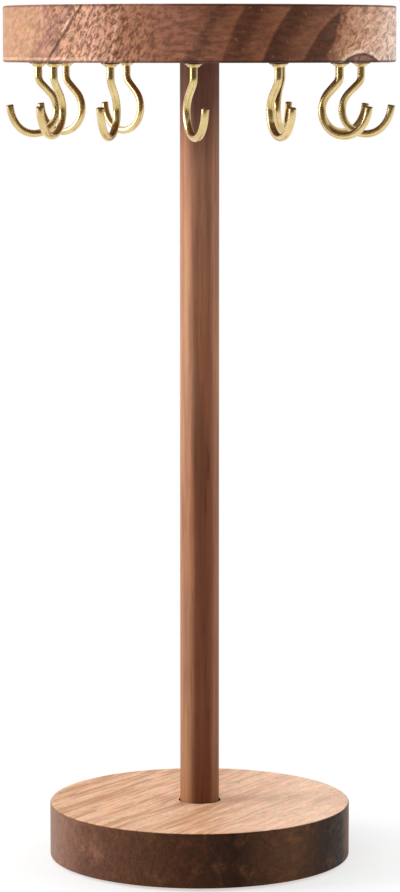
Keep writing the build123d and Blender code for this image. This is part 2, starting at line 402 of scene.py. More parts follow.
collar_pieces = []
for number, mouth, heading in hooks:
    bm = bmesh.new()
    start = bm.verts.new(rim_point)
    arc = bmesh.ops.spin(bm, geom=[start], cent=flare_centre, axis=(0, 1, 0), angle=-flare_angle, steps=8)
    foot = [part for part in arc["geom_last"] if isinstance(part, bmesh.types.BMVert)][0]
    corners = [bm.verts.new((radius, 0, height)) for radius, height in (
        (COLLAR_BORE, COLLAR_FOOT), (COLLAR_BORE, COLLAR_TOP), (COLLAR_RADIUS - COLLAR_ARRIS, COLLAR_TOP),
        (COLLAR_RADIUS, COLLAR_TOP - COLLAR_ARRIS),
    )]
    chain = [foot] + corners + [start]
    for pair in zip(chain, chain[1:]):
        bm.edges.new(pair)
    section = bm.verts[:] + bm.edges[:]
    bmesh.ops.spin(
        bm, geom=section, cent=(0, 0, 0), axis=(0, 0, 1), angle=2 * pi, steps=48, use_merge=True
    )
    bmesh.ops.translate(bm, verts=bm.verts, vec=mouth)
    collar_pieces.append(finish_piece(bm, f"hook_collar_{number:02d}", f"hook_{number:02d}"))

# %% [markdown]
# Now the finishes. A colour picked off a screen is an sRGB value, which is not proportional to light.
# Shaders add and multiply light, so one function turns the familiar hex code into linear numbers.

# %% Colours
def shade(code):
    """Linear colour, with alpha, of an sRGB hex code."""
    levels = [int(code[i:i + 2], 16) / 255 for i in (0, 2, 4)]
    return [v / 12.92 if v <= 0.04045 else ((v + 0.055) / 1.055) ** 2.4 for v in levels] + [1]


def grey(level):
    """A linear grey, for masks and for plain white."""
    return (level, level, level, 1)


print("tan of the rim's left end", [round(value, 3) for value in shade("b38768")])

# %% [markdown]
# Every node is added in the same way: its kind, what goes into its live sockets, and its settings. A
# node given as a value stands for its first output, and a ramp also gets its colour stops. The
# clamping and easing of a Map Range node turn any number into a mask from 0 to 1.

# %% One helper for every node
def add(tree, kind, inputs=(), stops=(), **settings):
    """Add a node with its settings, and link or fill its live sockets by name or number."""
    node = tree.nodes.new(kind)
    for name, value in settings.items():
        setattr(node, name, value)
    for key, value in dict(inputs).items():
        live = [socket for socket in node.inputs if socket.enabled]
        socket = live[key] if isinstance(key, int) else next(item for item in live if item.name == key)
        if isinstance(value, bpy.types.Node):
            value = next(item for item in value.outputs if item.enabled)
        if isinstance(value, bpy.types.NodeSocket):
            tree.links.new(value, socket)
        else:
            socket.default_value = value
    if stops:
        ramp = node.color_ramp.elements
        ramp[0].position, ramp[0].color = stops[0]
        ramp[-1].position, ramp[-1].color = stops[-1]
        for place, tone in stops[1:-1]:
            ramp.new(place).color = tone
    return node


def new_material(name):
    """An empty node material and its tree."""
    material = bpy.data.materials.new(name)
    material.use_nodes = True
    material.node_tree.nodes.clear()
    return material, material.node_tree


# %% [markdown]
# The wood is acacia, stained brown and rubbed with a thin, nearly matt lacquer. All three pieces share
# the same beginnings. Object coordinates become millimetres from the middle of the piece. A slow
# noise, 20 mm from wave to wave, makes them wander a little, because no tree grows with a ruler. The
# faces that look up or down are told apart by their normals.

# %% Where a point lies in its board
SMOOTH = {"interpolation_type": "SMOOTHSTEP", "clamp": True}
WANDER_LENGTH = 20.0


def board(name, middle, wander):
    """A wood material, a point's straight and wandering place in it, and its flat faces."""
    material, tree = new_material(name)
    spot = add(tree, "ShaderNodeTexCoord")
    place = add(tree, "ShaderNodeMapping", {
        "Vector": spot.outputs["Object"], "Location": [-value for value in middle], "Scale": (1 / MM,) * 3,
    })
    drift = add(tree, "ShaderNodeTexNoise", {
        "Vector": place, "Scale": 1 / WANDER_LENGTH, "Detail": 4.0, "Roughness": 0.45,
    })
    drift = add(tree, "ShaderNodeVectorMath", {
        0: drift.outputs["Color"], 1: (0.5, 0.5, 0.5),
    }, operation="SUBTRACT")
    grown = add(tree, "ShaderNodeVectorMath", {
        0: drift, 1: (wander,) * 3, 2: place,
    }, operation="MULTIPLY_ADD")
    upright = add(tree, "ShaderNodeSeparateXYZ", {"Vector": spot.outputs["Normal"]}).outputs["Z"]
    upright = add(tree, "ShaderNodeMath", {0: upright}, operation="ABSOLUTE")
    flat = add(tree, "ShaderNodeMapRange", {"Value": upright, "From Min": 0.6, "From Max": 0.95}, **SMOOTH)
    return material, tree, place, grown, flat


# %% [markdown]
# Flecks, pores and lacquer finish all three. Where a fleck took more stain it is deeper and redder,
# where it took less it is paler and pinker. A slow noise, about 3 mm from patch to patch, shifts the
# hue a little more. Open pores show as dark dots. Acacia's are 0.1 to 0.3 mm wide, well under a pixel
# here, so they are drawn about 1 mm wide. Flecks and pores also go into a bump of a tenth of a
# millimetre. The lacquer is thin and mostly sunk in, so the eye sees a dull glow at a grazing angle and
# no gloss. A low specular level says so.

# %% Flecks, pores and lacquer
def lacquered(tree, colour, fleck, depth, pores):
    """Finish a wood colour with flecks from 0 to 1, their depth, pores, bump and a thin lacquer."""
    hue = add(tree, "ShaderNodeTexNoise", {"Vector": pores, "Scale": 0.4, "Detail": 3.0, "Roughness": 0.6})
    hue = add(tree, "ShaderNodeVectorMath", {
        0: hue.outputs["Color"], 1: (0.36, 0.26, 0.30), 2: (0.82, 0.87, 0.85),
    }, operation="MULTIPLY_ADD")
    colour = add(tree, "ShaderNodeVectorMath", {0: colour, 1: hue}, operation="MULTIPLY")
    tinge = add(tree, "ShaderNodeMix", {
        "Factor": fleck, "A": (0.46, 0.38, 0.34, 1), "B": (1.56, 1.64, 1.70, 1),
    }, data_type="RGBA")
    tinge = add(tree, "ShaderNodeMix", {"Factor": depth, "A": grey(1), "B": tinge}, data_type="RGBA")
    stain_and_shade = add(tree, "ShaderNodeVectorMath", {0: colour, 1: tinge}, operation="MULTIPLY")
    pore = add(tree, "ShaderNodeTexNoise", {"Vector": pores, "Scale": 1.3, "Detail": 2.0, "Roughness": 0.6})
    pore = add(tree, "ShaderNodeMapRange", {
        "Value": pore, "From Min": 0.62, "From Max": 0.72, "To Min": 1.0, "To Max": 0.65,
    }, **SMOOTH)
    stain_and_shade = add(tree, "ShaderNodeVectorMath", {0: stain_and_shade, "Scale": pore}, operation="SCALE")
    rough = add(tree, "ShaderNodeMapRange", {"Value": fleck, "To Min": 0.44, "To Max": 0.6})
    relief = add(tree, "ShaderNodeMath", {0: fleck, 1: 0.4, 2: pore}, operation="MULTIPLY_ADD")
    bump = add(tree, "ShaderNodeBump", {"Height": relief, "Strength": 0.4, "Distance": 0.0001})
    surface = add(tree, "ShaderNodeBsdfPrincipled", {
        "Base Color": stain_and_shade, "Roughness": rough, "Normal": bump, "IOR": 1.5, "Specular IOR Level": 0.12,
    })
    add(tree, "ShaderNodeOutputMaterial", {"Surface": surface})


# %% [markdown]
# The top board lies with its grain from front to back, so the rim shows end grain in front and the
# growth rings cross it. They are circles about the pith, which lies outside the board, low on the
# right. Each ring starts lighter, darkens, and stops at a sharp edge, which one ramp draws over the
# ring's width. The front of the rim is dark and its left end tan, partly from the stain and partly as
# painted light: the tan end stands for the key lamp's light on the left, the dark front for shade.

# %% Rings of the top board
PITH = (78.2, 0.0, -28.3)
RING_WIDTH = 13.1
FIRST_RING = 8.0


def from_line(tree, place, point):
    """Distance of a place from the line that runs front to back through a point."""
    level = add(tree, "ShaderNodeVectorMath", {0: place, 1: (1, 0, 1)}, operation="MULTIPLY")
    return add(tree, "ShaderNodeVectorMath", {0: level, 1: point}, operation="DISTANCE")


middle = (0, 0, (top_bottom + top_top) / 2)
top_wood, tree, place, grown, flat = board("Stained acacia, top board", middle, 0.9)
ring = add(tree, "ShaderNodeMath", {
    0: from_line(tree, grown, PITH), 1: FIRST_RING + RING_WIDTH, 2: FIRST_RING,
}, operation="WRAP")
ring = add(tree, "ShaderNodeMapRange", {
    "Value": ring, "From Min": FIRST_RING, "From Max": FIRST_RING + RING_WIDTH,
})
late = add(tree, "ShaderNodeValToRGB", {"Fac": ring}, stops=[
    (0.0, grey(0)), (0.08, grey(0.2)), (0.35, grey(0.38)), (0.6, grey(0.9)), (0.92, grey(1)), (1.0, grey(0)),
])
print("ring edges", [round(FIRST_RING + count * RING_WIDTH, 1) for count in range(6)], "mm from the pith")

# %% [markdown]
# Now the tones. One ramp runs across the board from its left end to its right, from tan wood to dark
# heartwood, and its tan left end is partly painted light from the left. A second ramp over the same
# width says how strongly the late wood of the rings shows.

# %% Tones of the top board
x = add(tree, "ShaderNodeSeparateXYZ", {"Vector": grown}).outputs["X"]
across = add(tree, "ShaderNodeMapRange", {"Value": x, "From Min": -top_radius, "From Max": top_radius})
# Painted light: the tan stops up to a quarter of the width stand partly for the key lamp's light on the left end.
tone_and_side_light = add(tree, "ShaderNodeValToRGB", {"Fac": across}, stops=[
    (0.0, shade("b38768")), (0.09, shade("b18466")), (0.14, shade("9f6f58")), (0.20, shade("b38468")),
    (0.235, shade("b68871")), (0.30, shade("98684f")), (0.45, shade("8d5d49")), (0.60, shade("7e4f37")),
    (0.78, shade("845640")), (1.0, shade("8c6350")),
])
show = add(tree, "ShaderNodeValToRGB", {"Fac": across}, stops=[
    (0.0, grey(0.05)), (0.49, grey(0.12)), (0.59, grey(0.72)), (0.66, grey(0.9)), (0.75, grey(0.85)),
])
dark = add(tree, "ShaderNodeMath", {0: late, 1: show}, operation="MULTIPLY")
colour = add(tree, "ShaderNodeMix", {"Factor": dark, "A": tone_and_side_light, "B": shade("472b20")}, data_type="RGBA")
print("tones across the board:", len(tone_and_side_light.color_ramp.elements))

# %% [markdown]
# Beyond the last dark ring the stain hardly took. The wood there turns from brown to pale tan and is
# paler still towards the right end. A knot grazes the lower edge, a dark dome with a cream line round
# it. Its shape is a distance from a line that runs front to back, like the pith's, counted in the
# knot's own radii. A cloudy noise, 2 mm from blotch to blotch, frays the border of the pale wood.

# %% Pale wood and a knot
KNOT = (56.2, 0.0, -15.4)
KNOT_RADIUS = 8.8
PALE_FROM = 50.0

cloud = add(tree, "ShaderNodeTexNoise", {"Vector": place, "Scale": 0.45, "Detail": 4.0, "Roughness": 0.6})
slope = add(tree, "ShaderNodeVectorMath", {0: grown, 1: (1, 0, -0.25)}, operation="DOT_PRODUCT")
ragged = add(tree, "ShaderNodeMath", {0: cloud, 1: 8.0, 2: slope}, operation="MULTIPLY_ADD")
pale = add(tree, "ShaderNodeMapRange", {
    "Value": ragged, "From Min": PALE_FROM, "From Max": PALE_FROM + 3.0,
}, **SMOOTH)
tan = add(tree, "ShaderNodeMapRange", {"Value": ragged, "From Min": PALE_FROM, "From Max": PALE_FROM + 25.0})
tan = add(tree, "ShaderNodeValToRGB", {"Fac": tan}, stops=[
    (0.0, shade("8e5b42")), (0.2, shade("b28365")), (0.5, shade("cfa387")), (1.0, shade("e8cbba")),
])
colour = add(tree, "ShaderNodeMix", {"Factor": pale, "A": colour, "B": tan}, data_type="RGBA")
knot = add(tree, "ShaderNodeMath", {0: from_line(tree, grown, KNOT), 1: KNOT_RADIUS}, operation="DIVIDE")
halo = add(tree, "ShaderNodeMapRange", {
    "Value": knot, "From Min": 1.22, "From Max": 1.08, "To Max": 0.85,
}, **SMOOTH)
colour = add(tree, "ShaderNodeMix", {"Factor": halo, "A": colour, "B": shade("e2bfa4")}, data_type="RGBA")
dome = add(tree, "ShaderNodeMapRange", {"Value": knot, "From Min": 1.02, "From Max": 0.95}, **SMOOTH)
deep = add(tree, "ShaderNodeMapRange", {"Value": knot, "From Min": 0.95, "From Max": 0.8}, **SMOOTH)
deep = add(tree, "ShaderNodeMix", {
    "Factor": deep, "A": shade("5f3f35"), "B": shade("8c645a"),
}, data_type="RGBA")
colour = add(tree, "ShaderNodeMix", {"Factor": dome, "A": colour, "B": deep}, data_type="RGBA")
print("knot", 2 * KNOT_RADIUS, "mm across, centred at", KNOT)

# %% [markdown]
# Real boards have small faults. A dark gum line, about a millimetre wide, leans across the left half,
# with a light streak beside it. A few more streaks cross the rim, two light and two dark. Each is a
# distance from a slanted plane turned into a mask, and the same cloudy noise frays it.

# %% Gum line and streaks
GUM_LEAN = (0.84, 0, -0.543)
GUM_PLACE = -39.1
LIGHT_PLACE = GUM_PLACE - 1.0

slant = add(tree, "ShaderNodeVectorMath", {0: grown, 1: GUM_LEAN}, operation="DOT_PRODUCT")
width = add(tree, "ShaderNodeMapRange", {
    "Value": cloud, "From Min": 0.35, "From Max": 0.65, "To Min": 0.3, "To Max": 0.65,
})
line = add(tree, "ShaderNodeMath", {0: slant, 1: GUM_PLACE, 2: width}, operation="COMPARE")
line = add(tree, "ShaderNodeMath", {0: line, 1: 0.88}, operation="MULTIPLY")
beside = add(tree, "ShaderNodeMath", {0: slant, 1: LIGHT_PLACE, 2: width}, operation="COMPARE")
z = add(tree, "ShaderNodeSeparateXYZ", {"Vector": place}).outputs["Z"]
upper = add(tree, "ShaderNodeMapRange", {
    "Value": z, "From Min": -4.0, "From Max": 5.0, "To Max": 0.4,
}, **SMOOTH)
beside = add(tree, "ShaderNodeMath", {0: beside, 1: upper}, operation="MULTIPLY")
colour = add(tree, "ShaderNodeMix", {"Factor": beside, "A": colour, "B": shade("cfa48e")}, data_type="RGBA")
colour = add(tree, "ShaderNodeMix", {"Factor": line, "A": colour, "B": shade("5c3828")}, data_type="RGBA")
# Lean, place, half width, strength and colour of each streak
streaks = (
    (-0.15, -28.9, 1.0, 0.45, "cfa38d"), (0.12, -54.0, 1.2, 0.25, "d3a68c"),
    (-0.75, -51.5, 3.2, 0.5, "80564c"), (-0.6, 2.6, 4.4, 0.6, "563a2e"),
)
for lean, where, half, strength, tone in streaks:
    away = add(tree, "ShaderNodeVectorMath", {0: grown, 1: (1, 0, lean)}, operation="DOT_PRODUCT")
    away = add(tree, "ShaderNodeMath", {0: away, 1: where}, operation="SUBTRACT")
    away = add(tree, "ShaderNodeMath", {0: away}, operation="ABSOLUTE")
    away = add(tree, "ShaderNodeMapRange", {"Value": away, "From Min": half, "From Max": 0.0})
    away = add(tree, "ShaderNodeMath", {0: away, 1: 0.5, 2: cloud}, operation="MULTIPLY_ADD")
    away = add(tree, "ShaderNodeMapRange", {
        "Value": away, "From Min": 0.6, "From Max": 0.85, "To Max": strength,
    }, **SMOOTH)
    colour = add(tree, "ShaderNodeMix", {"Factor": away, "A": colour, "B": shade(tone)}, data_type="RGBA")
print("streaks beside the gum line:", len(streaks))

# %% [markdown]
# The flecks stand upright in the brown wood, lie down in the heartwood, and swirl in the pale end.
# Their real width is a few tenths of a millimetre, which is under a pixel here, so they are drawn 1 to
# 2 mm wide and 2 to 4 mm long on the rim. Front to back, along the grain, they are 12 mm long.

# %% Flecks of the top board
ALONG_GRAIN = 12.0

rays = add(tree, "ShaderNodeMapping", {
    "Vector": grown, "Rotation": (0, radians(25), 0), "Scale": (1.0, ALONG_GRAIN, 2.1),
}, vector_type="TEXTURE")
rays = add(tree, "ShaderNodeTexNoise", {
    "Vector": rays, "Scale": 1.0, "Detail": 3.0, "Roughness": 0.6, "Distortion": 0.6,
})
dashes = add(tree, "ShaderNodeMapping", {
    "Vector": grown, "Scale": (3.8, ALONG_GRAIN, 1.4),
}, vector_type="TEXTURE")
dashes = add(tree, "ShaderNodeTexNoise", {"Vector": dashes, "Scale": 1.0, "Detail": 3.0, "Roughness": 0.6})
swirls = add(tree, "ShaderNodeMapping", {
    "Vector": grown, "Rotation": (0, radians(35), 0), "Scale": (2.0, ALONG_GRAIN, 3.4),
}, vector_type="TEXTURE")
swirls = add(tree, "ShaderNodeTexNoise", {
    "Vector": swirls, "Scale": 1.0, "Detail": 5.0, "Roughness": 0.75, "Distortion": 1.0,
})
heart = add(tree, "ShaderNodeMapRange", {"Value": x, "From Min": -26.0, "From Max": 0.0}, **SMOOTH)
fleck = add(tree, "ShaderNodeMix", {"Factor": heart, "A": rays, "B": dashes})
fleck = add(tree, "ShaderNodeMix", {"Factor": pale, "A": fleck, "B": swirls})
fleck = add(tree, "ShaderNodeMapRange", {"Value": fleck, "From Min": 0.35, "From Max": 0.65}, **SMOOTH)
depth = add(tree, "ShaderNodeValToRGB", {"Fac": across}, stops=[
    (0.0, grey(0.3)), (0.10, grey(0.4)), (0.16, grey(1)), (0.30, grey(1)), (0.45, grey(0.5)),
    (0.60, grey(0.3)), (0.80, grey(0.35)), (0.87, grey(0.9)), (1.0, grey(0.8)),
])
print("nodes with the flecks:", len(tree.nodes))

# %% [markdown]
# The upper face is paler than the rim, partly because it was sanded after staining and partly as painted
# light from above. The underside is dark with painted shade, and the brass mirrors that dark brown.
# Along both edges of the rim a dark line a millimetre wide is painted shade. Above the lower one, on the
# left, a light line is a painted highlight.

# %% Faces and edges of the top board, with painted shade and a painted highlight
EDGE_SHADE_WIDTH = 1.1
EDGE_SHADE_CORE = 0.4
HIGHLIGHT_LEVEL = 1.3

# Painted light on the faces: the upper face is mixed towards a paler tan, and the underside towards a dark brown
# that stands for shade.
sanded_and_lit = add(tree, "ShaderNodeMix", {"Factor": 0.6, "A": colour, "B": shade("bd8c6a")}, data_type="RGBA")
stain_and_shade = add(tree, "ShaderNodeMix", {"Factor": 0.75, "A": colour, "B": shade("563a2b")}, data_type="RGBA")
shaded_underside = add(tree, "ShaderNodeMath", {0: z, 1: 0.0}, operation="LESS_THAN")
face = add(tree, "ShaderNodeMix", {"Factor": shaded_underside, "A": sanded_and_lit, "B": stain_and_shade}, data_type="RGBA")
colour = add(tree, "ShaderNodeMix", {"Factor": flat, "A": colour, "B": face}, data_type="RGBA")
half = (top_top - top_bottom) / 2
# Painted shade: a dark line along both edges of the rim, darkest on the heartwood.
edge_shade = add(tree, "ShaderNodeMath", {0: z}, operation="ABSOLUTE")
edge_shade = add(tree, "ShaderNodeMapRange", {
    "Value": edge_shade, "From Min": half - EDGE_SHADE_WIDTH, "From Max": half - EDGE_SHADE_CORE, "To Max": 0.85,
}, **SMOOTH)
rim = add(tree, "ShaderNodeMath", {0: 1.0, 1: flat}, operation="SUBTRACT")
edge_shade = add(tree, "ShaderNodeMath", {0: edge_shade, 1: rim}, operation="MULTIPLY")
edge_shade_colour = add(tree, "ShaderNodeMix", {
    "Factor": heart, "A": shade("785143"), "B": shade("341f18"),
}, data_type="RGBA")
colour = add(tree, "ShaderNodeMix", {"Factor": edge_shade, "A": colour, "B": edge_shade_colour}, data_type="RGBA")
# Painted highlight: a light line just above the lower edge, on the left end of the rim.
edge_highlight = add(tree, "ShaderNodeMath", {0: z, 1: HIGHLIGHT_LEVEL - half, 2: width}, operation="COMPARE")
highlight_left = add(tree, "ShaderNodeMapRange", {
    "Value": x, "From Min": -15.0, "From Max": -45.0, "To Max": 0.35,
}, **SMOOTH)
edge_highlight = add(tree, "ShaderNodeMath", {0: edge_highlight, 1: highlight_left}, operation="MULTIPLY")
colour = add(tree, "ShaderNodeMix", {"Factor": edge_highlight, "A": colour, "B": shade("e3c0aa")}, data_type="RGBA")
pores = add(tree, "ShaderNodeMapping", {"Vector": grown, "Scale": (0.8, 0.1, 0.8)})
lacquered(tree, colour, fleck, depth, pores)
top_disc.data.materials.append(top_wood)
print("top board nodes:", len(tree.nodes))

# %% [markdown]
# The base was cut from a plainer board, again with its grain from front to back. Its rim is nearly
# black brown in front, partly stain and partly painted shade, and its paler ends are painted
# reflections. The stain lies on it in blotches of 4 to 5 mm, and a patch at the left is worn.

# %% Rim of the base
WORN_PATCH = (-38.0, 0, 0.5)
WORN_RADIUS = 8.0

middle = (0, 0, (base_bottom + base_top) / 2)
base_wood, tree, place, grown, flat = board("Stained acacia, base board", middle, 3.0)
x = add(tree, "ShaderNodeSeparateXYZ", {"Vector": grown}).outputs["X"]
across = add(tree, "ShaderNodeMapRange", {"Value": x, "From Min": -base_radius, "From Max": base_radius})
# Painted light: the pale stops at both ends are painted reflections, and the darkest stops in front are partly
# painted shade.
rim_stain_and_light = add(tree, "ShaderNodeValToRGB", {"Fac": across}, stops=[
    (0.0, shade("876756")), (0.06, shade("7b5544")), (0.13, shade("5c3c2d")), (0.28, shade("4f301e")),
    (0.45, shade("3d2211")), (0.62, shade("261306")), (0.80, shade("543723")), (0.92, shade("24140a")),
    (0.97, shade("24140a")), (1.0, shade("6c4c36")),
])
cloud = add(tree, "ShaderNodeTexNoise", {"Vector": grown, "Scale": 0.22, "Detail": 5.0, "Roughness": 0.65})
glow = add(tree, "ShaderNodeMapRange", {
    "Value": cloud, "From Min": 0.48, "From Max": 0.7, "To Max": 0.25,
}, **SMOOTH)
rim_stain_and_light = add(tree, "ShaderNodeMix", {"Factor": glow, "A": rim_stain_and_light, "B": shade("70442b")}, data_type="RGBA")
patch = from_line(tree, place, WORN_PATCH)
patch = add(tree, "ShaderNodeMapRange", {"Value": patch, "From Min": WORN_RADIUS, "From Max": 0.0})
patch = add(tree, "ShaderNodeMath", {0: patch, 1: 0.5, 2: cloud}, operation="MULTIPLY_ADD")
patch = add(tree, "ShaderNodeMapRange", {
    "Value": patch, "From Min": 0.6, "From Max": 1.0, "To Max": 0.5,
}, **SMOOTH)
rim_stain_and_light = add(tree, "ShaderNodeMix", {"Factor": patch, "A": rim_stain_and_light, "B": shade("8a5f4a")}, data_type="RGBA")
print("base nodes with the rim:", len(tree.nodes))

# %% [markdown]
# The top of the base is orange tan, partly because it was sanded and drank little stain and partly as
# painted light from above, and towards the right it turns paler still, as a painted sheen. It has a
# figure of streaks 2 mm wide and 30 mm long that run slantwise. The fine flecks between them are drawn
# 1 mm wide and 9 mm long.

# %% Top of the base
FIGURE_ANGLE = radians(-32)

figure = add(tree, "ShaderNodeMapping", {
    "Vector": grown, "Rotation": (0, 0, FIGURE_ANGLE), "Scale": (2.0, 30.0, 20.0),
}, vector_type="TEXTURE")
figure = add(tree, "ShaderNodeTexNoise", {
    "Vector": figure, "Scale": 1.0, "Detail": 3.0, "Roughness": 0.55, "Distortion": 0.3,
})
tan = add(tree, "ShaderNodeMapRange", {"Value": figure, "From Min": 0.36, "From Max": 0.62}, **SMOOTH)
tan = add(tree, "ShaderNodeMix", {
    "Factor": tan, "A": shade("bc8862"), "B": shade("deb18f"),
}, data_type="RGBA")
# Painted sheen: the top turns paler towards the right.
sheen_right = add(tree, "ShaderNodeMapRange", {
    "Value": x, "From Min": -10.0, "From Max": 50.0, "To Max": 0.7,
}, **SMOOTH)
tan = add(tree, "ShaderNodeMix", {"Factor": sheen_right, "A": tan, "B": shade("efcab0")}, data_type="RGBA")
# The top's tan is partly painted light from above.
colour = add(tree, "ShaderNodeMix", {"Factor": flat, "A": rim_stain_and_light, "B": tan}, data_type="RGBA")
fleck = add(tree, "ShaderNodeMapping", {
    "Vector": grown, "Rotation": (0, 0, FIGURE_ANGLE), "Scale": (1.2, 9.0, 2.0),
}, vector_type="TEXTURE")
fleck = add(tree, "ShaderNodeTexNoise", {
    "Vector": fleck, "Scale": 1.0, "Detail": 3.0, "Roughness": 0.65, "Distortion": 1.0,
})
fleck = add(tree, "ShaderNodeMapRange", {"Value": fleck, "From Min": 0.36, "From Max": 0.64}, **SMOOTH)
depth = add(tree, "ShaderNodeMapRange", {"Value": flat, "To Min": 0.35, "To Max": 0.22})
pores = add(tree, "ShaderNodeMapping", {"Vector": grown, "Scale": (0.9, 0.3, 0.9)})
lacquered(tree, colour, fleck, depth, pores)
base_disc.data.materials.append(base_wood)
print("base board nodes:", len(tree.nodes))

# %% [markdown]
# The pole is a dowel with its fibres from end to end, and streaks of lighter and darker stain, 3 mm
# wide and some 70 mm long. A paler strip down its left side is painted light from the key lamp, and a
# narrow pale strip down the right is a painted reflection of the backdrop. The stain is deeper in the
# lower half, and the pole is dark under the top board, where the board's shadow is painted. Single
# fibres are too fine to show, so they are drawn 1 mm wide and 28 mm long.

# %% Wood of the pole
middle = (0, 0, (pole_foot + pole_head) / 2)
pole_wood, tree, place, grown = board("Stained acacia, pole", middle, 1.0)[:4]
fibres = add(tree, "ShaderNodeMapping", {"Vector": grown, "Scale": (1.0, 1.0, 25.0)}, vector_type="TEXTURE")
z = add(tree, "ShaderNodeSeparateXYZ", {"Vector": place}).outputs["Z"]
length = (pole_head - pole_foot) / 2
upward = add(tree, "ShaderNodeMapRange", {"Value": z, "From Min": -length, "From Max": length})
# Painted shadow: both ramps turn darker in their top stops, under the top board.
brown = add(tree, "ShaderNodeValToRGB", {"Fac": upward}, stops=[
    (0.0, shade("5e3523")), (0.48, shade("6b3f2b")), (0.64, shade("7c523b")), (0.86, shade("8a604b")),
    (0.94, shade("6a4639")),
])
pale = add(tree, "ShaderNodeValToRGB", {"Fac": upward}, stops=[
    (0.0, shade("9a6c4e")), (0.4, shade("a07052")), (0.6, shade("b28062")), (0.88, shade("ab795d")),
    (0.96, shade("7d5242")),
])
x = add(tree, "ShaderNodeSeparateXYZ", {"Vector": grown}).outputs["X"]
# Painted light: a pale strip on the left side and a narrower one along the right edge.
painted_light_strips = add(tree, "ShaderNodeMapRange", {"Value": x, "From Min": -0.8, "From Max": -5.0}, **SMOOTH)
edge = add(tree, "ShaderNodeMapRange", {
    "Value": x, "From Min": 3.4, "From Max": 5.6, "To Max": 0.6,
}, **SMOOTH)
painted_light_strips = add(tree, "ShaderNodeMath", {0: painted_light_strips, 1: edge}, operation="MAXIMUM")
colour = add(tree, "ShaderNodeMix", {"Factor": painted_light_strips, "A": brown, "B": pale}, data_type="RGBA")
streak = add(tree, "ShaderNodeTexNoise", {"Vector": fibres, "Scale": 0.35, "Detail": 3.0})
streak = add(tree, "ShaderNodeMapRange", {
    "Value": streak, "From Min": 0.36, "From Max": 0.64, "To Min": 0.86, "To Max": 1.1,
}, **SMOOTH)
colour = add(tree, "ShaderNodeVectorMath", {0: colour, "Scale": streak}, operation="SCALE")
fleck = add(tree, "ShaderNodeTexNoise", {"Vector": fibres, "Scale": 0.9, "Detail": 3.0, "Roughness": 0.6})
fleck = add(tree, "ShaderNodeMapRange", {"Value": fleck, "From Min": 0.34, "From Max": 0.66}, **SMOOTH)
lacquered(tree, colour, fleck, 0.18, fibres)
pole.data.materials.append(pole_wood)
print("pole nodes:", len(tree.nodes))

# %% [markdown]
# The hooks are steel wire with polished brass plating. A metal has no body colour, only tinted
# reflections, so nearly all of its look comes from what it mirrors. A faint noise in the roughness
# stands for the drawing marks that the plating keeps. They are a few hundredths of a millimetre wide,
# too fine to show, so they are drawn about 1 mm wide, nine to a centimetre. Fingers have dulled the
# tint in spots of 6 mm. In the last millimetre below the wood, in the corner of each collar, the tint
# turns dark brown as painted shade under the top board.

# %% Polished brass plating
MARKS_PER_MM = 0.9
SPOTS_PER_MM = 0.16
SHADE_FROM = 0.9
SHADE_FULL = 0.3

brass, tree = new_material("Polished brass plating")
spot = add(tree, "ShaderNodeTexCoord").outputs["Object"]
marks = add(tree, "ShaderNodeTexNoise", {"Vector": spot, "Scale": MARKS_PER_MM / MM, "Detail": 3.0})
tint = add(tree, "ShaderNodeTexNoise", {"Vector": spot, "Scale": SPOTS_PER_MM / MM, "Detail": 2.0})
tint = add(tree, "ShaderNodeMapRange", {"Value": tint, "From Min": 0.35, "From Max": 0.65}, **SMOOTH)
tone = add(tree, "ShaderNodeMix", {
    "Factor": tint, "A": shade("e8d099"), "B": shade("d7bd81"),
}, data_type="RGBA")
height = add(tree, "ShaderNodeSeparateXYZ", {"Vector": spot}).outputs["Z"]
# Painted shade: the brass turns dark brown just below the top board.
shade_under_board = add(tree, "ShaderNodeMapRange", {
    "Value": height, "From Min": (top_bottom - SHADE_FROM) * MM, "From Max": (top_bottom - SHADE_FULL) * MM,
    "To Max": 0.8,
}, **SMOOTH)
tone = add(tree, "ShaderNodeMix", {"Factor": shade_under_board, "A": tone, "B": shade("422b16")}, data_type="RGBA")
rough = add(tree, "ShaderNodeMapRange", {
    "Value": marks, "From Min": 0.3, "From Max": 0.7, "To Min": 0.2, "To Max": 0.3,
}, **SMOOTH)
bump = add(tree, "ShaderNodeBump", {"Height": marks, "Strength": 0.05, "Distance": 0.0001})
metal = add(tree, "ShaderNodeBsdfPrincipled", {
    "Base Color": tone, "Metallic": 1.0, "Roughness": rough, "Normal": bump,
})
add(tree, "ShaderNodeOutputMaterial", {"Surface": metal})
print("brass nodes:", len(tree.nodes))

# %% [markdown]
# The wire was cut off after plating, so its end is bare steel that has tarnished to a dull brown. The
# shears left a grain of 0.4 mm. Only the tip of each hook wears this second material.

# %% Cut ends
CUT_GRAIN = 0.4

cut_end, tree = new_material("Cut steel wire, tarnished")
spot = add(tree, "ShaderNodeTexCoord").outputs["Object"]
marks = add(tree, "ShaderNodeTexNoise", {"Vector": spot, "Scale": 1 / (CUT_GRAIN * MM), "Detail": 2.0})
tone = add(tree, "ShaderNodeMix", {
    "Factor": marks, "A": shade("5a4026"), "B": shade("8a6a3e"),
}, data_type="RGBA")
rough = add(tree, "ShaderNodeMapRange", {
    "Value": marks, "From Min": 0.3, "From Max": 0.7, "To Min": 0.4, "To Max": 0.6,
}, **SMOOTH)
metal = add(tree, "ShaderNodeBsdfPrincipled", {"Base Color": tone, "Metallic": 0.8, "Roughness": rough})
add(tree, "ShaderNodeOutputMaterial", {"Surface": metal})
for piece in hook_pieces + collar_pieces:
    piece.data.materials.append(brass)
for piece in hook_pieces:
    piece.data.materials.append(cut_end)
print("brass on", len(hook_pieces + collar_pieces), "pieces")

